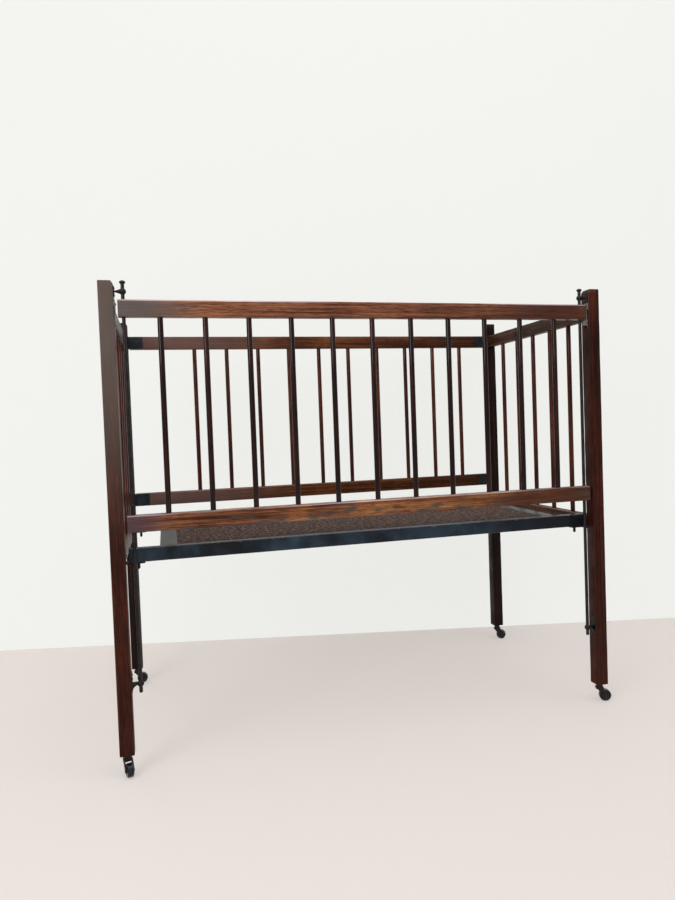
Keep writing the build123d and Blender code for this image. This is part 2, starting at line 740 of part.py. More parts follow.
# Castors: each swivels on its stem and trails the way its heading says
axle_level = wheel_diameter / 2
crown_base = wheel_diameter + crown_clearance
crown_top = castor_height - socket_flange_thickness - castor_running_gap
fork_inner = wheel_width / 2 + fork_gap
axle_half = fork_inner + fork_thickness
axle_head_radius = axle_head_diameter / 2
for corner, heading in castor_headings.items():
    row_name, side_name = corner.split("_")
    trail_way = Vector(cos(radians(heading)), sin(radians(heading)), 0)
    swivel = Vector(sides[side_name] * post_x, rows[row_name] * post_y, 0)
    hub = swivel + trail_way * castor_trail + Vector(0, 0, axle_level)
    fork_plane = Plane(origin=swivel, x_dir=trail_way, z_dir=trail_way.cross(Vector(0, 0, 1)))
    crown_plane = Plane(origin=swivel + Vector(0, 0, crown_base), x_dir=trail_way)
    wheel_section = Plane(origin=hub, x_dir=fork_plane.z_dir, z_dir=trail_way)
    axle_line = Axis(hub, fork_plane.z_dir)

    with BuildPart() as horn:
        with BuildSketch(crown_plane):
            RectangleRounded(crown_diameter, 2 * axle_half, crown_corner_radius)
        extrude(amount=crown_plate)
        with BuildSketch(crown_plane.offset(crown_plate)):
            Circle(crown_diameter / 2 - crown_step)
        extrude(amount=crown_top - crown_base - crown_plate, taper=crown_taper)
        for cheek_side in (-1, 1):
            with BuildSketch(fork_plane.offset(cheek_side * fork_inner)):
                with BuildLine():
                    shoulder = Line(
                        (cheek_inset - crown_diameter / 2, crown_base + cheek_overlap),
                        (crown_diameter / 2 - cheek_inset, crown_base + cheek_overlap),
                    )
                    front = Line(
                        shoulder @ 1,
                        (castor_trail + fork_eye_diameter / 2, axle_level + cheek_overlap),
                    )
                    boss = ThreePointArc(
                        front @ 1,
                        (castor_trail, axle_level - fork_eye_diameter / 2),
                        (castor_trail - fork_eye_diameter / 2, axle_level),
                    )
                    Line(boss @ 1, shoulder @ 0)
                make_face()
            extrude(amount=cheek_side * fork_thickness)
        with BuildSketch(fork_plane):
            with Locations((castor_trail, axle_level)):
                Circle(axle_diameter / 2 + fit_gap)
        extrude(amount=wheel_width, both=True, mode=Mode.SUBTRACT)
        with BuildSketch(crown_plane.offset(crown_top - crown_base)):
            Circle(stem_diameter / 2)
        extrude(amount=stem_length)
        chamfer(horn.faces().sort_by(Axis.Z)[-1].edges(), stem_bevel)
    write_part(horn.part, f"castor_horn_{corner}")

    with BuildPart() as wheel:
        with BuildSketch(wheel_section):
            Rectangle(wheel_width, wheel_diameter / 2, align=(Align.CENTER, Align.MIN))
            chamfer(vertices().group_by(Axis.Y)[-1], wheel_edge_bevel)
            Rectangle(
                2 * wheel_width,
                axle_diameter / 2 + shaft_gap,
                align=(Align.CENTER, Align.MIN),
                mode=Mode.SUBTRACT,
            )
        revolve(axis=axle_line)
    write_part(wheel.part, f"castor_wheel_{corner}")

    with BuildPart() as axle:
        with BuildSketch(wheel_section):
            with BuildLine():
                Polyline(
                    (-axle_half - axle_head_height, 0),
                    (-axle_half - axle_head_height, axle_diameter / 2),
                    (-axle_half, axle_head_radius),
                    (-axle_half, axle_diameter / 2),
                    (axle_half, axle_diameter / 2),
                    (axle_half, axle_head_radius),
                    (axle_half + axle_head_height, axle_diameter / 2),
                    (axle_half + axle_head_height, 0),
                    close=True,
                )
            make_face()
        revolve(axis=axle_line)
    write_part(axle.part, f"castor_axle_{corner}")
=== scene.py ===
"""Looks of a drop-side cot: stained oak bars, ironwork, castors and a caned base.

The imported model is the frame. Every piece here sits in the box of its CAD node.
Points are in metres, fields that name a size of the cot are in mm, +Z is up, and the
drop side faces -Y.
"""

import logging
import math
from dataclasses import dataclass
from enum import Enum

import bmesh
import bpy
from mathutils import Matrix, Vector, noise

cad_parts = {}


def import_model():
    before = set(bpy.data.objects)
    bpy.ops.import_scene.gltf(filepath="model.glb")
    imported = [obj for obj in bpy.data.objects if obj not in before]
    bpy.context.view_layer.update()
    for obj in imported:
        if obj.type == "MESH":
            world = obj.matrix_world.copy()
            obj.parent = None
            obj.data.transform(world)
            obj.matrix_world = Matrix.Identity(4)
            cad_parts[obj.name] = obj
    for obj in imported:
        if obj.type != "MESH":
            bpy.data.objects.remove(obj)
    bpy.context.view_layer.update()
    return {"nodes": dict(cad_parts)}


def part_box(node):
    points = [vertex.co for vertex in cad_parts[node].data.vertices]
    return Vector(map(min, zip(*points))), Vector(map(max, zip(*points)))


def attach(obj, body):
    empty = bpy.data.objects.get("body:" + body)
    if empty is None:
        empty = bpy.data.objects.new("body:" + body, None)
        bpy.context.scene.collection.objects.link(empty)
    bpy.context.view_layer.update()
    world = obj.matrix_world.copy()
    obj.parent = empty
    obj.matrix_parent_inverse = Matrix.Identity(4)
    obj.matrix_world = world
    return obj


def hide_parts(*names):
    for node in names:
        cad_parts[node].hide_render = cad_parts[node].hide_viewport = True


Tree = bpy.types.NodeTree
Node = bpy.types.Node
Socket = bpy.types.NodeSocket
Material = bpy.types.Material
Mesh = bpy.types.Mesh
Piece = bpy.types.Object
Span = tuple[float, float]
Triple = tuple[float, float, float]

LOG = logging.getLogger("cot")
MM = 0.001
SIDES = {"left": -1, "right": 1}
ROWS = ("front", "back")
SHARP_EDGE = 38.0
CANE_EDGE = 60.0
TENON = 11.0
WOOD_IOR = 1.5


class Grain(Enum):
    """The direction in which a bar's wood fibres run."""

    ALONG_X = 0
    ALONG_Y = 1
    ALONG_Z = 2


def linear(hex_colour: str) -> tuple[float, float, float, float]:
    """Turn an sRGB hex colour into Blender's linear colour.

    Args:
        hex_colour: Six hex digits with a leading hash.

    Returns:
        Red, green, blue and an alpha of 1.
    """
    parts = [int(hex_colour[i : i + 2], 16) / 255 for i in (1, 3, 5)]
    curve = [c / 12.92 if c <= 0.04045 else ((c + 0.055) / 1.055) ** 2.4 for c in parts]
    return (curve[0], curve[1], curve[2], 1.0)


def add_node(tree: Tree, kind: str, inputs: dict | None = None, **settings) -> Node:
    """Add one node with its settings and links.

    Args:
        tree: The node tree that gets the node.
        kind: Blender's name of the node's type.
        inputs: Values or sockets by the name or number of the node's inputs.
        **settings: Properties of the node itself.

    Returns:
        The new node.
    """
    node = tree.nodes.new(kind)
    for key, value in settings.items():
        setattr(node, key, value)
    for key, value in (inputs or {}).items():
        if isinstance(value, Socket):
            tree.links.new(value, node.inputs[key])
        else:
            node.inputs[key].default_value = value
    return node


@dataclass
class Nodes:
    """A node tree and short ways to add what repeats, which return the result's socket."""

    tree: Tree

    def add(self, kind: str, inputs: dict | None = None, **settings) -> Node:
        """Add any node, with the arguments of add_node."""
        return add_node(self.tree, kind, inputs, **settings)

    def maths(self, operation: str, *values) -> Socket:
        """Work out a sum, a product or a wave of numbers and sockets."""
        inputs = dict(enumerate(values))
        return self.add("ShaderNodeMath", inputs, operation=operation).outputs[0]

    def ranged(self, value: Socket, span: Span, reach: tuple = (0.0, 1.0), **settings) -> Socket:
        """Carry a value over from one span to another.

        Args:
            value: What is carried over.
            span: The two values that are met at the ends of the reach.
            reach: What the value becomes there, as numbers or sockets.
            **settings: Properties of the node itself.

        Returns:
            The new value.
        """
        ends = {"From Min": span[0], "From Max": span[1], "To Min": reach[0], "To Max": reach[1]}
        return self.add("ShaderNodeMapRange", {"Value": value, **ends}, **settings).outputs[0]

    def grade(self, place: Socket, axis: str, span: Span, share: float) -> Socket:
        """Let a share grow from nothing along one axis of the cot.

        Args:
            place: The Object coordinates.
            axis: X, Y or Z.
            span: Where the share starts and where it is full, in metres.
            share: The full share.

        Returns:
            The share.
        """
        way = self.part(place, axis)
        return self.ranged(way, span, (0.0, share), interpolation_type="SMOOTHSTEP")

    def vector(self, **parts) -> Socket:
        """Join X, Y and Z to a vector."""
        return self.add("ShaderNodeCombineXYZ", parts).outputs[0]

    def part(self, vector: Socket, axis: str) -> Socket:
        """Take X, Y or Z out of a vector."""
        return self.add("ShaderNodeSeparateXYZ", {0: vector}).outputs[axis]

    def stretch(self, place: Socket, scale: Triple) -> Socket:
        """Scale coordinates axis by axis."""
        return self.add("ShaderNodeMapping", {"Vector": place, "Scale": scale}).outputs[0]

    def cloud(self, place: Socket, scale: float, detail: float, **more: float) -> Socket:
        """Add a noise pattern with so many spots per unit of its coordinates."""
        inputs = {"Vector": place, "Scale": scale, "Detail": detail, **more}
        return self.add("ShaderNodeTexNoise", inputs).outputs["Fac"]

    def ramp(self, value: Socket, *stops: tuple[float, str]) -> Socket:
        """Turn a value into a colour by stops of position and sRGB hex colour."""
        node = self.add("ShaderNodeValToRGB", {"Fac": value})
        elements = node.color_ramp.elements
        while len(elements) < len(stops):
            elements.new(1.0)
        for element, (place, colour) in zip(elements, stops):
            element.position = place
            element.color = linear(colour)
        return node.outputs["Color"]

    def mix(self, share: Socket | float, under: Socket, over, blend: str = "MIX") -> Socket:
        """Lay a share of one colour over another.

        Args:
            share: How much of the upper colour shows.
            under: The lower colour.
            over: The upper colour, as a socket or a linear colour.
            blend: How the two are mixed.

        Returns:
            The mixed colour.
        """
        inputs = {"Factor": share, 6: under, 7: over}
        return self.add("ShaderNodeMix", inputs, data_type="RGBA", blend_type=blend).outputs[2]

    def bump(self, height: Socket, strength: float, depth: float) -> Socket:
        """Tilt the surface by a pattern of so many mm in depth."""
        inputs = {"Height": height, "Strength": strength, "Distance": depth * MM}
        return self.add("ShaderNodeBump", inputs).outputs[0]

    def wear_and_painted_highlight(self) -> Socket:
        """Read how worn the surface is, together with the painted highlight along the bars' upper
        edges.
        """
        return self.add("ShaderNodeAttribute", attribute_name="wear_and_painted_highlight").outputs["Fac"]


@dataclass(frozen=True)
class Finish:
    """One material of the cot, procedural and laid out by Object coordinates."""

    name: str

    def material(self) -> Material:
        """Build the material's nodes.

        Returns:
            The finished material.
        """
        material = bpy.data.materials.new(self.name)
        material.use_nodes = True
        nodes = Nodes(material.node_tree)
        nodes.tree.nodes.clear()
        place = nodes.add("ShaderNodeTexCoord").outputs["Object"]
        shader = nodes.add("ShaderNodeBsdfPrincipled", self.surface(nodes, place))
        nodes.add("ShaderNodeOutputMaterial", {"Surface": shader.outputs[0]})
        return material

    def surface(self, nodes: Nodes, place: Socket) -> dict:
        """Work out the inputs of the material's shader.

        Args:
            nodes: The material's tree.
            place: The Object coordinates.

        Returns:
            Values and sockets by the names of the shader's inputs.
        """
        raise NotImplementedError


@dataclass(frozen=True)
class StainedOak(Finish):
    """Oak with a dark spirit stain under thin shellac, rubbed lighter at its edges.

    The growth bands run along the grain, the open pores show as short dark dashes,
    and the shellac gives the faces a soft sheen over a rougher wood. On the front
    rails the pale rubbed edges are a painted highlight. The bars can also carry painted
    shade, darker towards one end, and a painted reflection, a pale cast along one axis.
    """

    grain: Grain
    dark: str
    middle: str
    light: str
    # The colour of the rubbed edges. On the front rails it is a pale painted highlight.
    worn: str
    band_length: float = 260.0
    band_width: float = 5.0
    pore_length: float = 22.0
    pore_width: float = 1.1
    pore_span: Span = (0.36, 0.5)
    pore_reach: Span = (0.35, 1.0)
    pore_strength: float = 0.35
    pore_depth: float = 0.25
    cloud_size: float = 130.0
    cloud_share: float = 0.55
    tone_span: Span = (0.5, 1.06)
    tone_stops: Triple = (0.08, 0.5, 0.95)
    rub_scale: float = 0.35
    rub_span: Span = (0.48, 0.72)
    shine: float = 0.08
    sheen: float = 0.06
    polish: float = 0.2
    rough_span: Span = (0.3, 0.7)
    roughness: Span = (0.36, 0.55)
    # Painted reflection: a pale cast laid over the stain along one axis, up a post's top or
    # towards the rails' left ends.
    bloom: str = "#6f625c"
    bloom_axis: str = "Z"
    bloom_span: Span = (0.45, 1.0)
    bloom_share: float = 0.0
    # Painted shade: the stain darkens towards the right end, along +X.
    painted_shade_span: Span = (0.05, 0.5)
    deep_share: float = 0.0
    smudge: str = "#3a3936"
    smudge_size: float = 55.0
    smudge_span: Span = (0.53, 0.66)
    smudge_share: float = 0.0

    def along(self, nodes: Nodes, place: Socket, length: float, width: float) -> Socket:
        """Stretch the coordinates along the grain.

        Args:
            nodes: The material's tree.
            place: The Object coordinates.
            length: The size of a pattern's spot along the grain, in mm.
            width: Its size across the grain.

        Returns:
            The stretched coordinates.
        """
        sizes = [1 / (width * MM)] * 3
        sizes[self.grain.value] = 1 / (length * MM)
        return nodes.stretch(place, (sizes[0], sizes[1], sizes[2]))

    def surface(self, nodes: Nodes, place: Socket) -> dict:
        """Lay the bands, pores, painted shade, smudges, painted reflection and wear, with its
        painted edge highlight, over each other.
        """
        band_place = self.along(nodes, place, self.band_length, self.band_width)
        bands = nodes.cloud(band_place, 1.0, 5.0, Distortion=0.7)
        cloud = nodes.cloud(place, 1 / (self.cloud_size * MM), 3.0)
        blend = nodes.maths("MULTIPLY_ADD", cloud, self.cloud_share, bands)
        tone = nodes.ranged(blend, self.tone_span)
        stain = nodes.ramp(tone, *zip(self.tone_stops, (self.dark, self.middle, self.light)))
        pore_place = self.along(nodes, place, self.pore_length, self.pore_width)
        pores = nodes.ranged(nodes.cloud(pore_place, 1.0, 2.0), self.pore_span, self.pore_reach)
        colour = nodes.mix(1.0, stain, pores, "MULTIPLY")
        # Painted shade: the colour darkens towards the right end.
        deep = nodes.grade(place, "X", self.painted_shade_span, self.deep_share)
        colour = nodes.mix(deep, colour, linear(self.dark))
        smudge_place = self.along(nodes, place, self.smudge_size, self.smudge_size / 3)
        marks = nodes.cloud(smudge_place, 1.0, 4.0)
        marked = nodes.ranged(marks, self.smudge_span, (0.0, self.smudge_share))
        colour = nodes.mix(marked, colour, linear(self.smudge))
        # Painted reflection: a pale cast that grows along one axis.
        bloom = nodes.grade(place, self.bloom_axis, self.bloom_span, self.bloom_share)
        colour = nodes.mix(bloom, colour, linear(self.bloom))
        # The rubbed edges. On the front rails their pale colour is a painted highlight, kept off
        # the lower edges as painted shade.
        rub = nodes.cloud(band_place, self.rub_scale, 6.0, Roughness=0.7)
        worn = nodes.maths("MULTIPLY", nodes.wear_and_painted_highlight(), nodes.ranged(rub, self.rub_span))
        return {
            "Base Color": nodes.mix(worn, colour, linear(self.worn)),
            "Roughness": nodes.ranged(bands, self.rough_span, self.roughness),
            "Normal": nodes.bump(pores, self.pore_strength, self.pore_depth),
            "IOR": WOOD_IOR,
            "Specular IOR Level": self.shine,
            "Coat Weight": self.sheen,
            "Coat Roughness": self.polish,
        }


@dataclass(frozen=True)
class PaintedWood(Finish):
    """Softwood under old oil paint, chipped at its edges to the pale wood."""

    paint: str
    faded: str
    bare: str
    fade_size: float = 60.0
    fade_stops: Span = (0.36, 0.68)
    chip_size: float = 9.0
    chip_span: Span = (0.55, 0.62)
    chip_strength: float = 0.25
    chip_depth: float = 0.2
    gloss: float = 0.38
    shine: float = 0.2
    # Painted shade: the paint darkens towards the right end, along +X.
    painted_shade_span: Span = (0.15, 0.5)
    deep_share: float = 0.0
    bare_span: Span = (0.47, 0.56)
    bare_share: float = 0.0

    def surface(self, nodes: Nodes, place: Socket) -> dict:
        """Fade the paint, darken it towards the right end as painted shade, and chip it at the
        edges and on top of the right end.
        """
        fade = nodes.cloud(place, 1 / (self.fade_size * MM), 6.0)
        paint = nodes.ramp(fade, *zip(self.fade_stops, (self.paint, self.faded)))
        # Painted shade: the paint darkens towards the right end.
        deep = nodes.grade(place, "X", self.painted_shade_span, self.deep_share)
        paint = nodes.mix(deep, paint, linear(self.paint))
        chips = nodes.cloud(place, 1 / (self.chip_size * MM), 8.0, Roughness=0.8)
        chipped = nodes.ranged(chips, self.chip_span)
        upward = nodes.part(nodes.add("ShaderNodeNewGeometry").outputs["Normal"], "Z")
        end = nodes.grade(place, "X", self.bare_span, self.bare_share)
        worn = nodes.maths("MAXIMUM", nodes.wear_and_painted_highlight(), nodes.maths("MULTIPLY", end, upward))
        share = nodes.maths("MULTIPLY", worn, chipped)
        return {
            "Base Color": nodes.mix(share, paint, linear(self.bare)),
            "Roughness": self.gloss,
            "Normal": nodes.bump(chips, self.chip_strength, self.chip_depth),
            "IOR": WOOD_IOR,
            "Specular IOR Level": self.shine,
        }


@dataclass(frozen=True)
class OldMetal(Finish):
    """Metal with a dark oxide skin that is rubbed through to brighter metal."""

    skin: str
    bloom: str
    bright: str
    metallic: float
    roughness: float
    skin_stops: Span = (0.38, 0.66)
    blotch_size: float = 14.0
    grit_size: float = 1.2
    grit_strength: float = 0.3
    grit_depth: float = 0.15
    rough_span: Span = (0.3, 0.7)
    smoother: float = 0.1
    rougher: float = 0.12

    def surface(self, nodes: Nodes, place: Socket) -> dict:
        """Blotch the skin and rub it through where it is worn."""
        blotch = nodes.cloud(place, 1 / (self.blotch_size * MM), 6.0, Roughness=0.65)
        skin = nodes.ramp(blotch, *zip(self.skin_stops, (self.skin, self.bloom)))
        grit = nodes.cloud(place, 1 / (self.grit_size * MM), 3.0)
        reach = (self.roughness - self.smoother, self.roughness + self.rougher)
        return {
            "Base Color": nodes.mix(nodes.wear_and_painted_highlight(), skin, linear(self.bright)),
            "Roughness": nodes.ranged(blotch, self.rough_span, reach),
            "Normal": nodes.bump(grit, self.grit_strength, self.grit_depth),
            "Metallic": self.metallic,
        }


@dataclass(frozen=True)
class SplitCane(Finish):
    """Split rattan cane, darkened by stain and age, glossy on its bark side."""

    dark: str
    middle: str
    light: str
    tone_size: float = 11.0
    tone_stops: Triple = (0.34, 0.5, 0.7)
    tone_strength: float = 0.3
    tone_depth: float = 0.1
    gloss: float = 0.42
    shine: float = 0.3

    def surface(self, nodes: Nodes, place: Socket) -> dict:
        """Vary the tone of the strands."""
        tone = nodes.cloud(place, 1 / (self.tone_size * MM), 5.0, Roughness=0.7)
        stops = zip(self.tone_stops, (self.dark, self.middle, self.light))
        return {
            "Base Color": nodes.ramp(tone, *stops),
            "Roughness": self.gloss,
            "Normal": nodes.bump(tone, self.tone_strength, self.tone_depth),
            "IOR": WOOD_IOR,
            "Specular IOR Level": self.shine,
        }


def oak(name: str, grain: Grain, *colours: str, **settings) -> Material:
    """Make one tone of stained oak, from its dark, middle, light and worn colours."""
    return StainedOak(f"stained_oak_{name}", grain, *colours, **settings).material()


def metal(name: str, *looks: str | float) -> Material:
    """Make one old metal, from its skin, bloom and bright colours and its polish."""
    return OldMetal(name, *looks).material()


@dataclass
class Palette:
    """Every finish of the cot, made once."""

    def __post_init__(self) -> None:
        """Build the materials."""
        post = ("#200b06", "#38150b", "#50220f", "#5c4034")
        # A darker copy of the post stain for the back posts: painted shade.
        shaded = ("#0c0504", "#1c0d09", "#331810", "#4c382e")
        # The last colour of the front rails, a pale lavender on their rubbed edges, is a painted
        # highlight.
        top = ("#3c1c11", "#75452e", "#9a6444", "#d8c0c4")
        bottom = ("#3c1c0e", "#7c4a2b", "#a67245", "#d8c0c4")
        back = ("#2a120a", "#5c321a", "#83522f", "#94766a")
        end = ("#170b07", "#382014", "#583824", "#8a6a5c")
        turned = ("#070202", "#1e0805", "#3c150b", "#6a3c2a")
        turned_back = ("#160604", "#42190f", "#6e351d", "#8a5038")
        z, x, y = Grain.ALONG_Z, Grain.ALONG_X, Grain.ALONG_Y
        self.post_oak = oak("posts", z, *post)
        # The front-left post gets a painted reflection, a pale grey cast up its top.
        self.reflection_painted_post_oak = oak("reflection_painted_post", z, *post, bloom="#665d57", bloom_share=0.66)
        self.shaded_post_oak = oak("shaded_posts", z, *shaded)
        # The front rails get a painted reflection, a dull grey-purple cast towards their left
        # ends, and painted shade that darkens them towards their right ends.
        self.front_oak = {
            level: oak(
                f"front_{level}_rail",
                x,
                *woods,
                band_width=7.0,
                sheen=0.3,
                polish=0.14,
                bloom=bloom,
                bloom_axis="X",
                bloom_span=span,
                bloom_share=0.85,
                deep_share=0.84,
                smudge_share=smudges,
            )
            for level, woods, bloom, span, smudges in (
                ("top", top, "#595350", (-0.36, -0.55), 0.0),
                ("bottom", bottom, "#45323a", (-0.46, -0.56), 0.8),
            )
        }
        # The back rails get a painted reflection, a pale cast towards the left, and painted shade
        # towards the right end.
        self.back_oak = oak(
            "back_rails",
            x,
            *back,
            bloom="#604b46",
            bloom_axis="X",
            bloom_span=(-0.02, -0.42),
            bloom_share=0.8,
            deep_share=0.75,
        )
        self.end_oak = oak("end_rails", y, *end)
        gloss = {"shine": 0.06, "sheen": 0.4, "polish": 0.08, "roughness": (0.3, 0.42)}
        self.turned_oak = oak("front_spindles", z, *turned, **gloss)
        self.turned_back_oak = oak("other_spindles", z, *turned_back, **gloss)
        slate = ("#0b1117", "#2a3b4a", "#8d7a70")
        green = ("#121512", "#242925", "#5c564c")
        # The base rails' paint darkens towards the right end as painted shade.
        painted = PaintedWood("slate_painted_base", *slate, deep_share=0.95, bare_share=1.0)
        self.slate_paint = painted.material()
        self.green_paint = PaintedWood("faded_painted_cross", *green).material()
        self.iron = metal("blacked_iron", "#101113", "#2b2320", "#5c5a58", 0.6, 0.46)
        hinge = ("#081215", "#0f2025", "#4c5654", 0.3, 0.4)
        self.hinge_iron = metal("painted_iron_hinges", *hinge)
        self.steel = metal("dulled_steel", "#6a6763", "#93908a", "#aaa7a2", 0.35, 0.45)
        rod = ("#161113", "#2c2427", "#8a8490", 0.55, 0.33)
        self.rod_steel = metal("browned_steel_rods", *rod)
        wheel = ("#1a1c20", "#30343a", "#85888c", 0.75, 0.26)
        self.wheel_iron = metal("cast_iron_wheels", *wheel)
        self.cane = SplitCane("stained_split_cane", "#1a100c", "#4a342c", "#8a766a").material()


def put(name: str, data: bpy.types.ID) -> Piece:
    """Make an object of some data and link it to the scene.

    Args:
        name: The object's name.
        data: Its mesh, light or camera.

    Returns:
        The new object at the origin.
    """
    piece = bpy.data.objects.new(name, data)
    bpy.context.scene.collection.objects.link(piece)
    return piece


def smooth(mesh: Mesh, sharp: float) -> None:
    """Smooth a mesh but for the edges that turn by more degrees than sharp."""
    mesh.polygons.foreach_set("use_smooth", [True] * len(mesh.polygons))
    mesh.set_sharp_from_angle(angle=math.radians(sharp))


def mesh_of(name: str, build: bmesh.types.BMesh) -> Mesh:
    """Turn a bmesh into a new mesh and let the bmesh go."""
    mesh = bpy.data.meshes.new(name)
    build.to_mesh(mesh)
    build.free()
    return mesh


def finish_mesh(name: str, mesh: Mesh, material: Material, sharp: float = SHARP_EDGE) -> Piece:
    """Put a mesh in the scene, smooth but for its sharp edges.

    Args:
        name: The piece's name.
        mesh: The mesh, with its place in its points.
        material: The finish of the piece.
        sharp: Edges turned by more degrees than this stay crisp.

    Returns:
        The new object at the origin.
    """
    mesh.name = name
    mesh.materials.clear()
    mesh.materials.append(material)
    smooth(mesh, sharp)
    LOG.info("%s: %d faces", name, len(mesh.polygons))
    return put(name, mesh)


def carve(piece: Piece, cutters: list[Piece]) -> None:
    """Cut holes in a piece and leave it a plain mesh.

    Args:
        piece: The piece to cut.
        cutters: Closed solids to take away, which are removed afterwards.
    """
    for cutter in cutters:
        cut = piece.modifiers.new("cut", "BOOLEAN")
        cut.operation = "DIFFERENCE"
        cut.solver = "EXACT"
        cut.object = cutter
    graph = bpy.context.evaluated_depsgraph_get()
    mesh = bpy.data.meshes.new_from_object(piece.evaluated_get(graph))
    piece.modifiers.clear()
    old = piece.data
    piece.data = mesh
    mesh.name = piece.name
    bpy.data.meshes.remove(old)
    smooth(mesh, SHARP_EDGE)
    for cutter in cutters:
        bpy.data.objects.remove(cutter)


@dataclass
class WornBar:
    """A planed bar with rounded edges that years of handling have made uneven."""

    low: Vector
    high: Vector
    grain: Grain
    edge_radius: float = 3.0
    end_round: float = 0.0
    station: float = 12.0
    wear_depth: float = 0.35
    arc_steps: int = 4
    support: float = 0.7
    wear_scale: float = 28.0
    wear_base: float = 0.25
    # The share of the edge highlight kept on the lower edges of a lying bar, which stay dark as
    # painted shade.
    painted_shade_under_share: float = 0.15

    def outline(self, width: float, depth: float) -> list[Triple]:
        """Walk round the rounded section.

        Args:
            width: Full size of the section across its first axis, in metres.
            depth: Full size across its second axis, in metres.

        Returns:
            Points as two coordinates and the edge wear, with its painted highlight, that the point
            shows.
        """
        radius = self.edge_radius * MM
        support = self.support * MM
        quarter = math.pi / 2
        points = []
        for turn, (sx, sy) in enumerate(((1, 1), (-1, 1), (-1, -1), (1, -1))):
            cx, cy = sx * (width / 2 - radius), sy * (depth / 2 - radius)
            ways = []
            for step in range(self.arc_steps + 1):
                angle = (turn + step / self.arc_steps) * quarter
                ways.append((math.cos(angle), math.sin(angle)))
            ring = [(cx + radius * u, cy + radius * v, 1.0) for u, v in ways]
            (start_u, start_v), (end_u, end_v) = ways[0], ways[-1]
            before = (ring[0][0] - support * end_u, ring[0][1] - support * end_v, 0.0)
            after = (ring[-1][0] - support * start_u, ring[-1][1] - support * start_v, 0.0)
            points += [before, *ring, after]
        return points

    def stops(self, length: float) -> list[float]:
        """Share out the rings along the bar.

        Args:
            length: The bar's length in metres.

        Returns:
            Shares of the length, from 0 to 1.
        """
        steps = max(2, round(length / (self.station * MM)))
        stops = [step / steps for step in range(steps + 1)]
        if not self.end_round:
            return stops
        inset = self.end_round * MM / length
        kept = [stop for stop in stops if inset * 1.5 < stop < 1 - inset * 1.5]
        return sorted({*kept, 0, inset, 1 - inset, 1})

    def mesh(self) -> Mesh:
        """Build the bar.

        Returns:
            A closed mesh inside the two corners, with a value at each point for the wear and
            painted highlight of its edges, kept low on the lower edges as painted shade.
        """
        along = self.grain.value
        first, second = [(1, 2), (2, 0), (0, 1)][along]
        size = self.high - self.low
        middle = (self.high + self.low) / 2
        outline = self.outline(size[first], size[second])
        build = bmesh.new()
        wear_and_painted_highlight = build.verts.layers.float.new("wear_and_painted_highlight")
        rings = []
        for stop in self.stops(size[along]):
            tight = self.end_round * MM if self.end_round and stop in (0, 1) else 0.0
            level = self.low[along] + stop * size[along]
            ring = []
            for u, v, worn in outline:
                rough = noise.noise(Vector((u, v, level)) * self.wear_scale)
                bite = worn * self.wear_depth * MM * max(0.0, rough + self.wear_base)
                shrink = 1 - bite / Vector((u, v)).length
                place = Vector((0, 0, 0))
                place[along] = level
                place[first] = middle[first] + u * shrink - math.copysign(min(tight, abs(u)), u)
                place[second] = middle[second] + v * shrink - math.copysign(min(tight, abs(v)), v)
                vert = build.verts.new(place)
                # The lower edges of a lying bar keep little of the edge highlight: painted shade.
                under = self.grain is not Grain.ALONG_Z and place.z < middle.z
                share = self.painted_shade_under_share if under else 1.0
                vert[wear_and_painted_highlight] = max(worn, 1.0 if tight else 0.0) * share
                ring.append(vert)
            rings.append(ring)
        for lower, upper in zip(rings, rings[1:]):
            for i in range(len(outline)):
                j = (i + 1) % len(outline)
                build.faces.new((lower[i], lower[j], upper[j], upper[i]))
        build.faces.new(list(reversed(rings[0])))
        build.faces.new(rings[-1])
        bmesh.ops.recalc_face_normals(build, faces=build.faces)
        return mesh_of("bar", build)


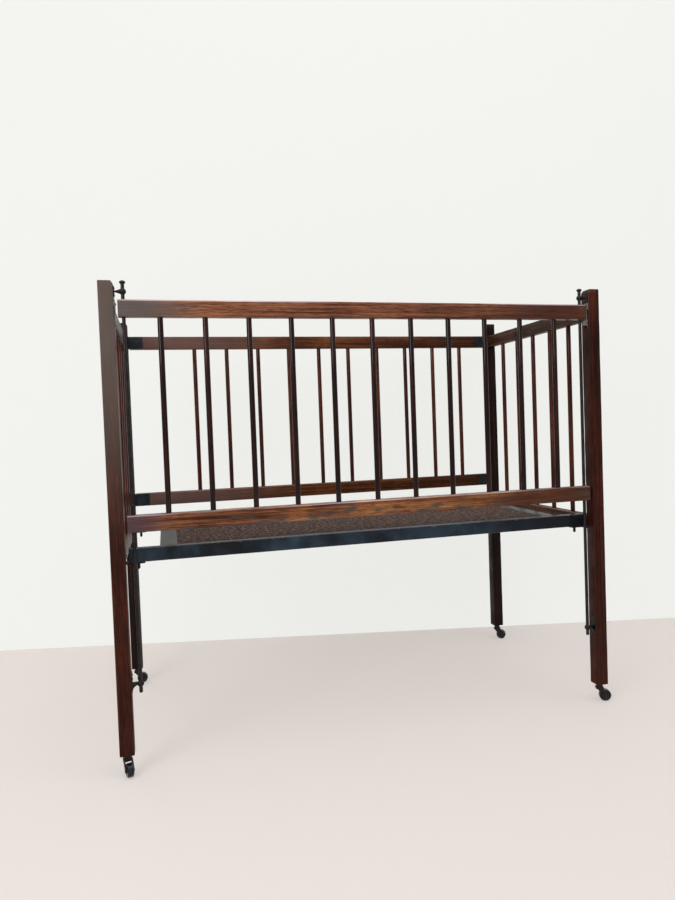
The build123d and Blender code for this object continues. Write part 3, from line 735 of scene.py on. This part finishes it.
class NodeForm(Nodes):
    """A Geometry Nodes tree whose result becomes one plain mesh."""

    def __init__(self, name: str) -> None:
        """Start the tree with its input and output.

        Args:
            name: The tree's name.
        """
        super().__init__(bpy.data.node_groups.new(name, "GeometryNodeTree"))
        self.name = name
        self.sockets = {}
        kind = "NodeSocketGeometry"
        for way in ("INPUT", "OUTPUT"):
            self.tree.interface.new_socket("Geometry", in_out=way, socket_type=kind)
        self.entry = self.add("NodeGroupInput")
        self.exit = self.add("NodeGroupOutput")

    def size(self, name: str, value: float | int) -> Socket:
        """Add a named input.

        Args:
            name: What the input sets.
            value: Its value for this cot, in metres or as a count.

        Returns:
            The socket that carries the value inside the tree.
        """
        kind = "NodeSocketInt" if isinstance(value, int) else "NodeSocketFloat"
        socket = self.tree.interface.new_socket(name, in_out="INPUT", socket_type=kind)
        self.sockets[socket.identifier] = value
        return self.entry.outputs[name]

    def line(self, end: Socket, count: Socket | int) -> Socket:
        """Draw a straight curve of so many points from the origin."""
        line = self.add("GeometryNodeCurvePrimitiveLine", {"End": end})
        inputs = {"Curve": line.outputs[0], "Count": count}
        return self.add("GeometryNodeResampleCurve", inputs).outputs[0]

    def ring(self, count: int) -> Socket:
        """Draw a ring of so many points with a radius of 1."""
        inputs = {"Resolution": count, "Radius": 1.0}
        return self.add("GeometryNodeCurvePrimitiveCircle", inputs).outputs[0]

    def sweep(self, curve: Socket, profile: Socket, **more: Socket) -> Socket:
        """Carry a profile along a curve and close its ends."""
        inputs = {"Curve": curve, "Profile Curve": profile, "Fill Caps": True, **more}
        return self.add("GeometryNodeCurveToMesh", inputs).outputs[0]

    def moved(self, geometry: Socket, **way: Socket | Triple) -> Socket:
        """Scale or shift a geometry."""
        return self.add("GeometryNodeTransform", {"Geometry": geometry, **way}).outputs[0]

    def drawn(self, seed: Socket, most: float) -> Socket:
        """Draw a number from 0 to most for every point."""
        inputs = {"Seed": seed, 2: 0.0, 3: most}
        return self.add("FunctionNodeRandomValue", inputs, data_type="FLOAT").outputs[1]

    def planted(self, shape: Socket, **way: Socket) -> Socket:
        """Set a shape on every point of the seed."""
        inputs = {"Points": self.entry.outputs[0], "Instance": shape, **way}
        return self.add("GeometryNodeInstanceOnPoints", inputs).outputs[0]

    def realized(self, geometry: Socket) -> Socket:
        """Turn instances into real geometry."""
        return self.add("GeometryNodeRealizeInstances", {"Geometry": geometry}).outputs[0]

    def grow(self, seed: Mesh, geometry: Socket, material: Material) -> Mesh:
        """Close the tree and run it.

        Args:
            seed: The mesh that the tree starts from.
            geometry: The socket of the finished geometry, instances and all.
            material: The finish of the result.

        Returns:
            A plain mesh.
        """
        inputs = {"Geometry": self.realized(geometry), "Material": material}
        dressed = self.add("GeometryNodeSetMaterial", inputs)
        self.tree.links.new(dressed.outputs[0], self.exit.inputs[0])
        holder = put(self.name, seed)
        modifier = holder.modifiers.new("form", "NODES")
        modifier.node_group = self.tree
        for identifier, value in self.sockets.items():
            modifier[identifier] = value
        graph = bpy.context.evaluated_depsgraph_get()
        mesh = bpy.data.meshes.new_from_object(holder.evaluated_get(graph))
        bpy.data.objects.remove(holder)
        return mesh


def point_mesh(places: list[Vector], facings: list[Vector] | None = None) -> Mesh:
    """Make a mesh of loose points, each with the way that it faces.

    Args:
        places: Where the points are.
        facings: Directions, one for each point.

    Returns:
        The mesh, with the directions in its attribute "facing".
    """
    mesh = bpy.data.meshes.new("seats")
    mesh.from_pydata(places, [], [])
    if facings:
        attribute = mesh.attributes.new("facing", "FLOAT_VECTOR", "POINT")
        attribute.data.foreach_set("vector", [c for facing in facings for c in facing])
    return mesh


@dataclass
class SpindleRow:
    """A row of turned spindles, each a little fuller in the middle than at its ends."""

    node: str
    body: str
    count: int
    diameter: float = 12.7
    end_diameter: float = 12.1
    swell_full: float = 0.35
    rings: int = 13
    facets: int = 20
    twist_seed: int = 7

    def feet(self, low: Vector, high: Vector) -> list[Vector]:
        """Space the spindles' feet between the corners of the row's box."""
        radius = self.diameter * MM / 2
        first = low + Vector((radius, radius, 0))
        last = Vector((high.x - radius, high.y - radius, low.z))
        if high.x - low.x > high.y - low.y:
            last.y = first.y
        else:
            last.x = first.x
        return [first.lerp(last, step / (self.count - 1)) for step in range(self.count)]

    def build(self, palette: Palette) -> None:
        """Grow the row from points at the spindles' feet.

        Args:
            palette: The cot's finishes.
        """
        low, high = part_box(self.node)
        form = NodeForm(f"{self.node}_form")
        height = form.size("Height", high.z - low.z)
        full = form.size("Radius", self.diameter * MM / 2)
        slim = form.size("End radius", self.end_diameter * MM / 2)
        twist = form.size("Twist seed", self.twist_seed)
        line = form.line(form.vector(Z=height), self.rings)
        share = form.add("GeometryNodeSplineParameter").outputs["Factor"]
        swell = form.maths("SINE", form.maths("MULTIPLY", share, math.pi))
        width = form.ranged(swell, (0.0, self.swell_full), (slim, full))
        sized = form.add("GeometryNodeSetCurveRadius", {"Curve": line, "Radius": width})
        radius = form.add("GeometryNodeInputRadius").outputs[0]
        rod = form.sweep(sized.outputs[0], form.ring(self.facets), Scale=radius)
        row = form.planted(rod, Rotation=form.vector(Z=form.drawn(twist, math.tau)))
        finish = palette.turned_oak if self.body == "drop_side" else palette.turned_back_oak
        mesh = form.grow(point_mesh(self.feet(low, high)), row, finish)
        piece = finish_mesh(f"{self.node}_turned", mesh, finish)
        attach(piece, self.body)
        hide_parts(self.node)


@dataclass
class Posts:
    """The four square posts, bevelled at the top, with the catch pockets of the front two."""

    edge_radius: float = 1.5
    top_bevel: float = 4.5
    crisp_bevel: float = 1.2
    inner_fall: float = 1.5
    corner_share: float = 0.8
    pocket_depth: float = 6.2
    pocket_width: float = 12.0
    pocket_low: float = 985.0
    pocket_high: float = 1040.5
    pocket_line: float = 288.7

    def build(self, palette: Palette) -> None:
        """Make each post from its CAD box.

        Args:
            palette: The cot's finishes.
        """
        sawn = {"edge_radius": self.edge_radius, "station": 14, "wear_depth": 0.5}
        for row in ROWS:
            for side_name, side in SIDES.items():
                node = f"{row}_{side_name}_post"
                low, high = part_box(node)
                mesh = WornBar(low, high, Grain.ALONG_Z, **sawn).mesh()
                self.bevel_top(mesh, high.z, side)
                # The front-left post gets the stain with a painted reflection up its top, and the
                # back posts get a darker copy of the stain as painted shade.
                finish = palette.reflection_painted_post_oak if side < 0 else palette.post_oak
                if row == "back":
                    finish = palette.shaded_post_oak
                piece = finish_mesh(f"{node}_planed", mesh, finish)
                if row == "front":
                    carve(piece, [self.pocket(side, low, high)])
                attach(piece, "frame")
                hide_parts(node)

    def bevel_top(self, mesh: Mesh, top: float, side: int) -> None:
        """Ease the edges of the post's top, most on the side towards the cot.

        Args:
            mesh: The post.
            top: The level of its top.
            side: -1 for a left post and 1 for a right one.
        """
        build = bmesh.new()
        build.from_mesh(mesh)
        wear_and_painted_highlight = build.verts.layers.float["wear_and_painted_highlight"]
        face = max(build.faces, key=lambda f: f.calc_center_median().z)
        middle = face.calc_center_median()
        rim = list(face.verts)
        made = bmesh.ops.extrude_discrete_faces(build, faces=[face])["faces"][0]
        crisp = self.crisp_bevel * MM
        for lower, upper in zip(rim, list(made.verts)):
            out = lower.co - middle
            inward = out.x * side < 0 and abs(out.x) > abs(out.y) * self.corner_share
            drop = self.top_bevel * MM if inward else crisp
            lower.co.z = top - drop * (self.inner_fall if inward else 1.0)
            upper.co.x -= math.copysign(min(drop, abs(out.x)), out.x)
            upper.co.y -= math.copysign(min(crisp, abs(out.y)), out.y)
            upper[wear_and_painted_highlight] = 1.0
            lower[wear_and_painted_highlight] = 1.0
        bmesh.ops.recalc_face_normals(build, faces=build.faces)
        build.to_mesh(mesh)
        build.free()

    def pocket(self, side: int, low: Vector, high: Vector) -> Piece:
        """Make the block that cuts the catch's pocket.

        Args:
            side: -1 for the left post and 1 for the right.
            low: The post's lowest corner.
            high: The post's highest corner.

        Returns:
            The cutter.
        """
        inner = high.x if side < 0 else low.x
        tall = (self.pocket_high - self.pocket_low) * MM
        level = (self.pocket_high + self.pocket_low) / 2 * MM
        size = Matrix.Diagonal((2 * self.pocket_depth * MM, self.pocket_width * MM, tall, 1))
        place = Matrix.Translation((inner, -self.pocket_line * MM, level))
        build = bmesh.new()
        bmesh.ops.create_cube(build, size=1, matrix=place @ size)
        return put("pocket_block", mesh_of("pocket_block", build))


@dataclass
class Rails:
    """The rails of the ends, the back and the drop side."""

    edge_radius: float = 3.0
    rod_hole: float = 8.8
    rod_line: float = 565.5
    bit_length: float = 60.0
    bit_facets: int = 32

    def build(self, palette: Palette) -> None:
        """Make all eight rails.

        Args:
            palette: The cot's finishes.
        """
        inset = Vector((0, TENON * MM, 0))
        for level in ("top", "bottom"):
            for side in SIDES:
                node = f"end_{level}_rail_{side}"
                low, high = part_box(node)
                self.rail(node, "frame", low + inset, high - inset, Grain.ALONG_Y, palette.end_oak)
            low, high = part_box(f"back_{level}_rail")
            self.rail(f"back_{level}_rail", "frame", low, high, Grain.ALONG_X, palette.back_oak)
            node = f"front_{level}_rail"
            low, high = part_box(node)
            finish = palette.front_oak[level]
            piece = self.rail(node, "drop_side", low, high, Grain.ALONG_X, finish)
            carve(piece, [self.rod_bit(side, (low + high) / 2) for side in SIDES.values()])

    def rail(
        self, node: str, body: str, low: Vector, high: Vector, grain: Grain, material: Material
    ) -> Piece:
        """Make one rail.

        Args:
            node: The CAD node that the rail stands for.
            body: The body that it rides on.
            low: Its lowest corner.
            high: Its highest corner.
            grain: The way that its fibres run.
            material: Its finish.

        Returns:
            The rail.
        """
        mesh = WornBar(low, high, grain, self.edge_radius, end_round=0.6, wear_depth=0.6).mesh()
        piece = finish_mesh(f"{node}_planed", mesh, material)
        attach(piece, body)
        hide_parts(node)
        return piece

    def rod_bit(self, side: int, middle: Vector) -> Piece:
        """Make the round cutter of one rod hole."""
        radius = self.rod_hole * MM / 2
        build = bmesh.new()
        bmesh.ops.create_cone(
            build,
            cap_ends=True,
            segments=self.bit_facets,
            radius1=radius,
            radius2=radius,
            depth=self.bit_length * MM,
            matrix=Matrix.Translation((side * self.rod_line * MM, middle.y, middle.z)),
        )
        return put("rod_bit", mesh_of("rod_bit", build))


@dataclass
class LiftOutBase:
    """The painted base frame with its caned panel."""

    edge_radius: float = 2.0
    cane_pitch: float = 10.6
    pair_gap: float = 3.0
    strand_width: float = 1.3
    strand_height: float = 0.8
    strand_facets: int = 4
    diagonal_width: float = 1.5
    diagonal_level: float = 0.35
    diagonal_weave: float = 0.5
    weave_rise: float = 0.45
    margin: float = 0.3

    def build(self, palette: Palette) -> None:
        """Make the frame's bars and weave the cane.

        Args:
            palette: The cot's finishes.
        """
        for row in ROWS:
            node = f"base_{row}_rail"
            low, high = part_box(node)
            self.bar(node, low, high, Grain.ALONG_X, palette.slate_paint)
        inset = Vector((0, TENON * MM, 0))
        for side in SIDES:
            node = f"base_cross_member_{side}"
            low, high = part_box(node)
            self.bar(node, low + inset, high - inset, Grain.ALONG_Y, palette.green_paint)
        low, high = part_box("cane_panel")
        warp = self.strands("cane_warp", low, high, False, palette)
        weft = self.strands("cane_weft", low, high, True, palette)
        rising = self.diagonals("cane_diagonal_rising", low, high, 1, palette)
        falling = self.diagonals("cane_diagonal_falling", low, high, -1, palette)
        for piece in (warp, weft, rising, falling):
            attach(piece, "base")
        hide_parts("cane_panel")

    def bar(self, node: str, low: Vector, high: Vector, grain: Grain, material: Material) -> None:
        """Make one painted bar of the base."""
        mesh = WornBar(low, high, grain, self.edge_radius, end_round=0.8, wear_depth=0.5).mesh()
        piece = finish_mesh(f"{node}_painted", mesh, material)
        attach(piece, "base")
        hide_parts(node)

    def ribbon(self, form: NodeForm, curves: Socket, width: float, sign: float) -> Socket:
        """Weave the curves over and under each other and give them a strand's section.

        Args:
            form: The tree being made.
            curves: The straight strands.
            width: The strand's width in mm.
            sign: The share of the full rise, below 0 for strands that go under where
                the others go over.

        Returns:
            The socket of the woven ribbons.
        """
        rise = form.size("Weave rise", sign * self.weave_rise * MM)
        count = form.size("Radians per metre", math.pi / (self.cane_pitch * MM))
        spot = form.add("GeometryNodeInputPosition").outputs[0]
        waves = [
            form.maths("COSINE", form.maths("MULTIPLY", form.part(spot, axis), count))
            for axis in ("X", "Y")
        ]
        lift = form.maths("MULTIPLY", form.maths("MULTIPLY", *waves), rise)
        inputs = {"Geometry": curves, "Offset": form.vector(Z=lift)}
        woven = form.add("GeometryNodeSetPosition", inputs).outputs[0]
        half = form.size("Half width", width * MM / 2)
        flat = form.size("Half height", self.strand_height * MM / 2)
        shape = form.vector(X=flat, Y=half, Z=1.0)
        section = form.moved(form.ring(self.strand_facets), Scale=shape)
        upright = form.add("GeometryNodeSetCurveNormal", {"Curve": woven}, mode="Z_UP")
        return form.sweep(upright.outputs[0], section)

    def strands(
        self, name: str, low: Vector, high: Vector, along_x: bool, palette: Palette
    ) -> Piece:
        """Lay the pairs of strands that run one way.

        Args:
            name: The piece's name.
            low: Lowest corner of the panel.
            high: Highest corner of the panel.
            along_x: Whether the strands run along X.
            palette: The cot's finishes.

        Returns:
            The woven strands.
        """
        pitch, gap = self.cane_pitch * MM, self.pair_gap * MM / 2
        middle = (low + high) / 2
        run, cross = (0, 1) if along_x else (1, 0)
        reach, spread = high[run] - low[run], high[cross] - low[cross]
        lines = int(spread / 2 / pitch - self.margin)
        starts = []
        for line in range(-lines, lines + 1):
            for step in (-gap, gap):
                start = middle.copy()
                start[run] = middle[run] - reach / 2
                start[cross] = middle[cross] + (line * pitch + step)
                starts.append(start)
        form = NodeForm(f"{name}_form")
        length = form.size("Length", reach)
        points = form.size("Points", 2 * round(reach / pitch) + 1)
        fine = form.line(form.vector(**{"X" if along_x else "Y": length}), points)
        laid = form.realized(form.planted(fine))
        ribbons = self.ribbon(form, laid, self.strand_width, -1.0 if along_x else 1.0)
        mesh = form.grow(point_mesh(starts), ribbons, palette.cane)
        return finish_mesh(name, mesh, palette.cane, CANE_EDGE)

    def diagonals(self, name: str, low: Vector, high: Vector, way: int, palette: Palette) -> Piece:
        """Lay the slanting strands of one direction, through the holes of the weave.

        Args:
            name: The piece's name.
            low: Lowest corner of the panel.
            high: Highest corner of the panel.
            way: 1 for strands that rise towards +Y as X grows, -1 for the others.
            palette: The cot's finishes.

        Returns:
            The slanting strands.
        """
        pitch = self.cane_pitch * MM
        middle = (low + high) / 2
        half_x, half_y = (high.x - low.x) / 2, (high.y - low.y) / 2
        level = middle.z + way * self.diagonal_level * MM
        vertices, edges = [], []
        count = int((half_x + half_y) / pitch)
        for line in range(-count, count + 1):
            shift = (line + 0.5) * pitch
            start = max(-half_x, shift - half_y)
            stop = min(half_x, shift + half_y)
            if stop - start < pitch:
                continue
            edges.append((len(vertices), len(vertices) + 1))
            for x in (start, stop):
                vertices.append(Vector((middle.x + x, middle.y + way * (x - shift), level)))
        seed = bpy.data.meshes.new("slants")
        seed.from_pydata(vertices, edges, [])
        form = NodeForm(f"{name}_form")
        spacing = form.size("Point spacing", pitch * 0.7)
        curves = form.add("GeometryNodeMeshToCurve", {"Mesh": form.entry.outputs[0]})
        inputs = {"Curve": curves.outputs[0], "Length": spacing}
        fine = form.add("GeometryNodeResampleCurve", inputs, mode="LENGTH").outputs[0]
        ribbons = self.ribbon(form, fine, self.diagonal_width, self.diagonal_weave * way)
        mesh = form.grow(seed, ribbons, palette.cane)
        return finish_mesh(name, mesh, palette.cane, CANE_EDGE)


@dataclass
class Screws:
    """Round-headed slotted screws at every hole of the ironwork."""

    head_diameter: float = 5.0
    head_height: float = 1.4
    slot_width: float = 0.8
    slot_depth: float = 0.7
    foot_gap: float = 0.1
    turn_seed: int = 3
    hinge_levels: Span = (556.0, 1026.0)
    rail_leaf_xs: Span = (552.0, 572.0)
    rail_leaf_y: float = 270.625
    post_leaf: Span = (583.05, 283.825)
    post_leaf_step: float = 10.0
    eye: Span = (582.85, -288.7)
    eye_levels: tuple[float, ...] = (1054.5, 1069.5, 222.1, 213.1)
    catch: Triple = (583.65, -288.7, 1043.4)
    strap: Span = (586.725, 478.8)
    strap_ys: tuple[float, ...] = (-257.0, -242.0, 242.0, 257.0)

    def seats(self) -> tuple[list[Vector], list[Vector]]:
        """List the screws on the frame.

        Returns:
            The places of the heads and the ways that they face.
        """
        places, facings = [], []

        def seat(facing: Triple, *place: float) -> None:
            """Add one screw, from its facing and its place in mm."""
            places.append(Vector(place) * MM)
            facings.append(Vector(facing))

        for side in SIDES.values():
            inward = (-side, 0, 0)
            for level in self.hinge_levels:
                for x in self.rail_leaf_xs:
                    seat((0, -1, 0), side * x, self.rail_leaf_y, level)
                x, y = self.post_leaf
                for step in (-self.post_leaf_step, self.post_leaf_step):
                    seat(inward, side * x, y, level + step)
            for level in self.eye_levels:
                seat(inward, side * self.eye[0], self.eye[1], level)
            seat(inward, side * self.catch[0], *self.catch[1:])
            for y in self.strap_ys:
                seat(inward, side * self.strap[0], y, self.strap[1])
        return places, facings

    def head(self, form: NodeForm) -> Socket:
        """Cut one head, in mm, and scale it down.

        Args:
            form: The tree being made.

        Returns:
            The socket of the head.
        """
        radius = form.size("Head radius in mm", self.head_diameter / 2)
        height = form.size("Head height in mm", self.head_height)
        slot = form.size("Slot width in mm", self.slot_width)
        ball = form.add("GeometryNodeMeshUVSphere", {"Segments": 24, "Rings": 12, "Radius": 1.0})
        dome = form.moved(ball.outputs[0], Scale=form.vector(X=radius, Y=radius, Z=height))
        wide = 2 * self.head_diameter
        slot_size = form.vector(X=wide, Y=slot, Z=2 * self.slot_depth)
        blade = form.add("GeometryNodeMeshCube", {"Size": slot_size}).outputs[0]
        block = form.add("GeometryNodeMeshCube", {"Size": (wide, wide, wide)}).outputs[0]
        raised = form.moved(blade, Translation=(0, 0, self.head_height))
        under = form.moved(block, Translation=(0, 0, -wide / 2 - self.foot_gap))
        exact = {"operation": "DIFFERENCE", "solver": "EXACT"}
        cut = form.add("GeometryNodeMeshBoolean", {"Mesh 1": dome}, **exact)
        for cutter in (raised, under):
            form.tree.links.new(cutter, cut.inputs["Mesh 2"])
        return form.moved(cut.outputs[0], Scale=(MM, MM, MM))

    def build(self, palette: Palette) -> None:
        """Grow the heads from their seats.

        Args:
            palette: The cot's finishes.
        """
        form = NodeForm("screw_heads_form")
        head = self.head(form)
        seed = form.size("Turn seed", self.turn_seed)
        read = "GeometryNodeInputNamedAttribute"
        facing = form.add(read, {"Name": "facing"}, data_type="FLOAT_VECTOR").outputs[0]
        inputs = {"Vector": facing}
        aim = form.add("FunctionNodeAlignRotationToVector", inputs, axis="Z").outputs[0]
        inputs = {"Axis": (0, 0, 1), "Angle": form.drawn(seed, math.pi)}
        about = form.add("FunctionNodeAxisAngleToRotation", inputs).outputs[0]
        inputs = {0: aim, 1: about}
        spun = form.add("FunctionNodeRotateRotation", inputs, rotation_space="LOCAL")
        heads = form.planted(head, Rotation=spun.outputs[0])
        mesh = form.grow(point_mesh(*self.seats()), heads, palette.iron)
        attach(finish_mesh("screw_heads", mesh, palette.iron, 30.0), "frame")


@dataclass
class Ironwork:
    """The rods, eyes, catches, hinges, straps and castors, which keep their CAD shapes."""

    def build(self, nodes: dict, palette: Palette) -> None:
        """Give every iron node the finish of the first start that its name has.

        Args:
            nodes: The CAD node objects by name.
            palette: The cot's finishes.
        """
        finishes = {
            "castor_wheel": palette.wheel_iron,
            "castor": palette.iron,
            "slide_rod": palette.rod_steel,
            "hinge_pins": palette.steel,
            "hinge": palette.hinge_iron,
            "catch": palette.steel,
            "upper_rod": palette.iron,
            "lower_rod": palette.iron,
            "base_pins": palette.iron,
            "front_base_straps": palette.iron,
            "back_base_straps": palette.iron,
        }
        for node, piece in nodes.items():
            for start, material in finishes.items():
                if node.startswith(start):
                    piece.data.materials.clear()
                    piece.data.materials.append(material)
                    LOG.info("%s: %s", node, material.name)
                    break


@dataclass
class Studio:
    """The floor, the wall, the light and the camera, in metres and degrees."""

    camera_place: Triple = (-0.4906, -1.8202, 0.7479)
    yaw: float = 14.43
    pitch: float = -1.82
    roll: float = -2.12
    lens: float = 26.756
    sensor: float = 36.0
    wall_turn: float = -12.2
    wall_point: Triple = (-0.046, 0.554, 0.0)
    wall_height: float = 5.0
    reach: float = 6.0
    floor_depth: float = 3.0
    sky_span: Span = (0.05, 0.8)
    sky_strength: Span = (0.4, 1.35)

    def backdrop(self, name: str, colour: str, even: float, corners: list[Vector]) -> None:
        """Make a plain sheet that shows its own colour to the camera.

        Args:
            name: The sheet's name.
            colour: Its sRGB colour.
            even: The share of plain colour, the rest being its lit surface.
            corners: Its four corners.
        """
        material = bpy.data.materials.new(f"{name}_paint")
        material.use_nodes = True
        nodes = Nodes(material.node_tree)
        nodes.tree.nodes.clear()
        paint = {"Color": linear(colour)}
        matt = nodes.add("ShaderNodeBsdfDiffuse", paint).outputs[0]
        plain = nodes.add("ShaderNodeEmission", {**paint, "Strength": 1.0}).outputs[0]
        rays = nodes.add("ShaderNodeLightPath").outputs
        seen = nodes.maths("MAXIMUM", rays["Is Camera Ray"], rays["Is Glossy Ray"])
        share = nodes.maths("MULTIPLY", seen, even)
        both = nodes.add("ShaderNodeMixShader", {0: share, 1: matt, 2: plain}).outputs[0]
        nodes.add("ShaderNodeOutputMaterial", {"Surface": both})
        mesh = bpy.data.meshes.new(name)
        mesh.from_pydata(corners, [], [(0, 1, 2, 3)])
        mesh.materials.append(material)
        sheet = put(name, mesh)

    def lamp(
        self, name: str, place: Triple, aim: Triple, size: float, watts: float, colour: str
    ) -> None:
        """Hang one square soft light.

        Args:
            name: The lamp's name.
            place: Where it hangs.
            aim: The point that it faces.
            size: The length of its side in metres.
            watts: Its power.
            colour: The sRGB colour of its light.
        """
        light = bpy.data.lights.new(name, "AREA")
        light.size = size
        light.energy = watts
        light.color = linear(colour)[:3]
        lamp = put(name, light)
        lamp.location = place
        lamp.rotation_euler = (Vector(aim) - Vector(place)).to_track_quat("-Z", "Y").to_euler()

    def sheets(self) -> None:
        """Lay the floor and stand the wall on it."""
        far, deep = self.reach, self.floor_depth
        spots = ((-far, -far), (far, -far), (far, deep), (-far, deep))
        self.backdrop("floor", "#ded6d1", 0.5, [Vector((x, y, 0)) for x, y in spots])
        turn = math.radians(self.wall_turn)
        along = far * Vector((math.cos(turn), math.sin(turn), 0))
        foot, rise = Vector(self.wall_point), Vector((0, 0, self.wall_height))
        corners = [foot - along, foot + along, foot + along + rise, foot - along + rise]
        self.backdrop("wall", "#f1f2ee", 0.85, corners)

    def sky(self) -> None:
        """Light the room softly, more from above than from the sides."""
        world = bpy.data.worlds.new("soft_room")
        bpy.context.scene.world = world
        world.use_nodes = True
        nodes = Nodes(world.node_tree)
        nodes.tree.nodes.clear()
        way = nodes.add("ShaderNodeTexCoord").outputs["Generated"]
        light = nodes.ranged(nodes.part(way, "Z"), self.sky_span, self.sky_strength)
        inputs = {"Color": linear("#f6f7f8"), "Strength": light}
        sky = nodes.add("ShaderNodeBackground", inputs).outputs[0]
        nodes.add("ShaderNodeOutputWorld", {"Surface": sky})

    def camera(self) -> None:
        """Stand where the photograph was taken from."""
        yaw, pitch, roll = (math.radians(a) for a in (self.yaw, self.pitch, self.roll))
        level = math.cos(pitch)
        ahead = Vector((math.sin(yaw) * level, math.cos(yaw) * level, math.sin(pitch)))
        right = Vector((math.cos(yaw), -math.sin(yaw), 0))
        up = right.cross(ahead)
        tilted_right = math.cos(roll) * right + math.sin(roll) * up
        tilted_up = -math.sin(roll) * right + math.cos(roll) * up
        turn = Matrix((tilted_right, tilted_up, -ahead)).transposed().to_4x4()
        view = bpy.data.cameras.new("photo_view")
        view.sensor_fit = "VERTICAL"
        view.sensor_height = self.sensor
        view.lens = self.lens
        camera = put("photo_view", view)
        camera.matrix_world = Matrix.Translation(self.camera_place) @ turn
        bpy.context.scene.camera = camera

    def build(self) -> None:
        """Set up everything that isn't the cot."""
        bpy.context.scene.view_settings.view_transform = "Standard"
        self.sheets()
        self.sky()
        self.lamp("window_light", (-2.6, -2.4, 2.0), (0.0, 0.1, 0.6), 1.6, 44.0, "#fffdfa")
        self.lamp("ceiling_light", (0.3, -0.7, 3.1), (0.0, 0.1, 0.7), 2.4, 22.0, "#ffffff")
        self.camera()


def main() -> None:
    """Load the frame and build the cot's looks."""
    logging.basicConfig(level=logging.INFO, format="%(name)s %(message)s")
    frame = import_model()
    palette = Palette()
    Ironwork().build(frame["nodes"], palette)
    Posts().build(palette)
    Rails().build(palette)
    SpindleRow("front_spindles", "drop_side", 11).build(palette)
    SpindleRow("back_spindles", "frame", 11).build(palette)
    SpindleRow("end_spindles_left", "frame", 5).build(palette)
    SpindleRow("end_spindles_right", "frame", 5).build(palette)
    LiftOutBase().build(palette)
    Screws().build(palette)
    Studio().build()


if __name__ == "__main__":
    main()
